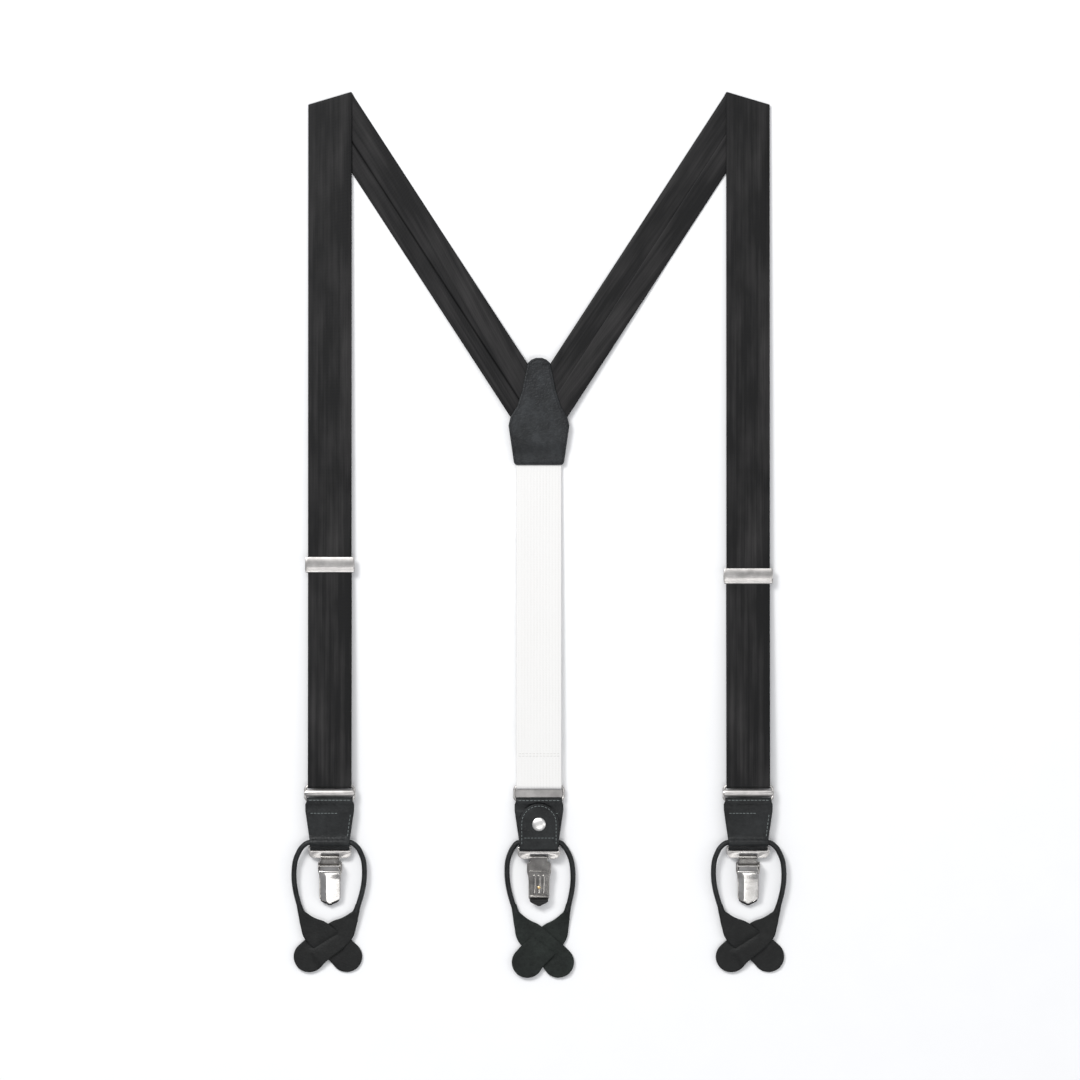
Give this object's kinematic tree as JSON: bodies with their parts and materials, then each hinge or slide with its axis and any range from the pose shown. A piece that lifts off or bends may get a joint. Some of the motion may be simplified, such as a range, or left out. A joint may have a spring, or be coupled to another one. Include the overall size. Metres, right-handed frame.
{
  "type": "suspenders",
  "caption": "Y-back dress suspenders in black satin with a white elastic leg, sliding adjusters, leather button loops on cords, and removable metal clips.",
  "frame": {"origin": "middle of the footprint, on the surface that the suspenders lie on", "axes": "+X across the straps, to the right when the suspenders are seen from above, +Y up towards the shoulders, +Z away from the surface"},
  "size_m": [0.2838, 0.5085, 0.0082],
  "materials": {
    "satin": "black satin ribbon with fine cross ribs and a soft lengthwise sheen",
    "elastic": "white woven elastic, matt, fine lengthwise cords",
    "leather": "black fine-grained leather, semi-matt",
    "nickel": "polished nickel plate",
    "rubber": "matt black"
  },
  "bodies": {
    "root": {"strap_back_left": "satin", "strap_back_right": "satin", "patch_back": "leather", "patch_front": "leather", "elastic_strap": "elastic"},
    "front_left": {"strap_front_left": "satin"},
    "adjuster_left": {"adjuster_plate_left": "nickel", "adjuster_bar_left": "nickel", "strap_lower_left": "satin"},
    "end_left": {"strap_fold_left": "satin"},
    "front_right": {"strap_front_right": "satin"},
    "adjuster_right": {"adjuster_plate_right": "nickel", "adjuster_bar_right": "nickel", "strap_lower_right": "satin"},
    "end_right": {"strap_fold_right": "satin"},
    "end_back": {"elastic_fold": "elastic"},
    "ring_left": {"ring_left": "nickel"},
    "tab_left": {"tab_left": "leather", "snap_socket_left": "nickel"},
    "flap_left": {"flap_left": "leather", "snap_cap_left": "nickel", "snap_stud_left": "nickel"},
    "loop_left": {"loop_cord_left": "leather", "tongue_slotted_left": "leather", "tongue_threaded_left": "leather"},
    "bail_left": {"bail_left": "nickel"},
    "clip_left": {"clip_base_left": "nickel", "clip_pin_left": "nickel"},
    "lever_left": {"clip_lever_left": "nickel", "clip_pad_left": "rubber"},
    "ring_right": {"ring_right": "nickel"},
    "tab_right": {"tab_right": "leather", "snap_socket_right": "nickel"},
    "flap_right": {"flap_right": "leather", "snap_cap_right": "nickel", "snap_stud_right": "nickel"},
    "loop_right": {"loop_cord_right": "leather", "tongue_slotted_right": "leather", "tongue_threaded_right": "leather"},
    "bail_right": {"bail_right": "nickel"},
    "clip_right": {"clip_base_right": "nickel", "clip_pin_right": "nickel"},
    "lever_right": {"clip_lever_right": "nickel", "clip_pad_right": "rubber"},
    "ring_back": {"ring_back": "nickel"},
    "tab_back": {"tab_back": "leather", "snap_socket_back": "nickel"},
    "flap_back": {"flap_back": "leather", "snap_cap_back": "nickel", "snap_stud_back": "nickel"},
    "loop_back": {"loop_cord_back": "leather", "tongue_slotted_back": "leather", "tongue_threaded_back": "leather"},
    "bail_back": {"bail_back": "nickel"},
    "clip_back": {"clip_base_back": "nickel", "clip_pin_back": "nickel"},
    "lever_back": {"clip_lever_back": "nickel", "clip_pad_back": "rubber"}
  },
  "joints": [
    {"name": "shoulder_fold_left", "type": "hinge", "parent": "root", "child": "front_left", "pos_m": [-0.12, 0.25055, 0.00118], "axis": [-0.9588, -0.284, 0], "range_deg": [0, 170]},
    {"name": "adjuster_slide_left", "type": "slide", "parent": "front_left", "child": "adjuster_left", "axis": [0, 1, 0], "range_m": [-0.1, 0.1], "deforming": ["strap_lower_left"]},
    {"name": "end_slide_left", "type": "slide", "parent": "adjuster_left", "child": "end_left", "axis": [0, 1, 0], "range_m": [-0.05, 0.05], "deforming": ["strap_lower_left"]},
    {"name": "shoulder_fold_right", "type": "hinge", "parent": "root", "child": "front_right", "pos_m": [0.12, 0.25055, 0.00118], "axis": [-0.9588, 0.284, 0], "range_deg": [0, 170]},
    {"name": "adjuster_slide_right", "type": "slide", "parent": "front_right", "child": "adjuster_right", "axis": [0, 1, 0], "range_m": [-0.1, 0.1], "deforming": ["strap_lower_right"]},
    {"name": "end_slide_right", "type": "slide", "parent": "adjuster_right", "child": "end_right", "axis": [0, 1, 0], "range_m": [-0.05, 0.05], "deforming": ["strap_lower_right"]},
    {"name": "elastic_stretch", "type": "slide", "parent": "root", "child": "end_back", "axis": [0, -1, 0], "range_m": [0, 0.06], "stiffness_N_per_m": 250, "deforming": ["elastic_strap"]},
    {"name": "ring_turn_left", "type": "hinge", "parent": "end_left", "child": "ring_left", "pos_m": [-0.12, -0.14348, 0.00537], "axis": [-1, 0, 0], "range_deg": [-30, 30]},
    {"name": "tab_turn_left", "type": "hinge", "parent": "ring_left", "child": "tab_left", "pos_m": [-0.12, -0.15242, 0.00537], "axis": [-1, 0, 0], "range_deg": [-45, 45]},
    {"name": "flap_open_left", "type": "hinge", "parent": "tab_left", "child": "flap_left", "pos_m": [-0.12, -0.17865, 0.00115], "axis": [-1, 0, 0], "range_deg": [0, 150]},
    {"name": "loop_turn_left", "type": "hinge", "parent": "tab_left", "child": "loop_left", "pos_m": [-0.12, -0.17625, 0.00537], "axis": [-1, 0, 0], "range_deg": [-45, 45]},
    {"name": "bail_turn_left", "type": "hinge", "parent": "tab_left", "child": "bail_left", "pos_m": [-0.12, -0.1791, 0.00315], "axis": [-1, 0, 0], "range_deg": [-60, 40]},
    {"name": "clip_turn_left", "type": "hinge", "parent": "bail_left", "child": "clip_left", "pos_m": [-0.12, -0.1848, 0.00315], "axis": [-1, 0, 0], "range_deg": [-30, 30]},
    {"name": "lever_open_left", "type": "hinge", "parent": "clip_left", "child": "lever_left", "pos_m": [-0.12, -0.18989, 0.00589], "axis": [-1, 0, 0], "range_deg": [0, 90]},
    {"name": "ring_turn_right", "type": "hinge", "parent": "end_right", "child": "ring_right", "pos_m": [0.12, -0.14348, 0.00537], "axis": [-1, 0, 0], "range_deg": [-30, 30]},
    {"name": "tab_turn_right", "type": "hinge", "parent": "ring_right", "child": "tab_right", "pos_m": [0.12, -0.15242, 0.00537], "axis": [-1, 0, 0], "range_deg": [-45, 45]},
    {"name": "flap_open_right", "type": "hinge", "parent": "tab_right", "child": "flap_right", "pos_m": [0.12, -0.17865, 0.00115], "axis": [-1, 0, 0], "range_deg": [0, 150]},
    {"name": "loop_turn_right", "type": "hinge", "parent": "tab_right", "child": "loop_right", "pos_m": [0.12, -0.17625, 0.00537], "axis": [-1, 0, 0], "range_deg": [-45, 45]},
    {"name": "bail_turn_right", "type": "hinge", "parent": "tab_right", "child": "bail_right", "pos_m": [0.12, -0.1791, 0.00315], "axis": [-1, 0, 0], "range_deg": [-60, 40]},
    {"name": "clip_turn_right", "type": "hinge", "parent": "bail_right", "child": "clip_right", "pos_m": [0.12, -0.1848, 0.00315], "axis": [-1, 0, 0], "range_deg": [-30, 30]},
    {"name": "lever_open_right", "type": "hinge", "parent": "clip_right", "child": "lever_right", "pos_m": [0.12, -0.18989, 0.00589], "axis": [-1, 0, 0], "range_deg": [0, 90]},
    {"name": "ring_turn_back", "type": "hinge", "parent": "end_back", "child": "ring_back", "pos_m": [0, -0.14377, 0.0029], "axis": [1, 0, 0], "range_deg": [-30, 30]},
    {"name": "tab_turn_back", "type": "hinge", "parent": "ring_back", "child": "tab_back", "pos_m": [0, -0.15271, 0.0029], "axis": [1, 0, 0], "range_deg": [-45, 45]},
    {"name": "flap_open_back", "type": "hinge", "parent": "tab_back", "child": "flap_back", "pos_m": [0, -0.17894, 0.00712], "axis": [1, 0, 0], "range_deg": [0, 150]},
    {"name": "loop_turn_back", "type": "hinge", "parent": "tab_back", "child": "loop_back", "pos_m": [0, -0.17654, 0.0029], "axis": [1, 0, 0], "range_deg": [-45, 45]},
    {"name": "bail_turn_back", "type": "hinge", "parent": "tab_back", "child": "bail_back", "pos_m": [0, -0.17939, 0.00512], "axis": [1, 0, 0], "range_deg": [-60, 40]},
    {"name": "clip_turn_back", "type": "hinge", "parent": "bail_back", "child": "clip_back", "pos_m": [0, -0.18509, 0.00512], "axis": [1, 0, 0], "range_deg": [-30, 30]},
    {"name": "lever_open_back", "type": "hinge", "parent": "clip_back", "child": "lever_back", "pos_m": [0, -0.19009, 0.00222], "axis": [1, 0, 0], "range_deg": [0, 90]}
  ],
  "couplings": [
    {"joint": "end_slide_left", "follows": "adjuster_slide_left", "ratio": -0.5},
    {"joint": "end_slide_right", "follows": "adjuster_slide_right", "ratio": -0.5}
  ]
}
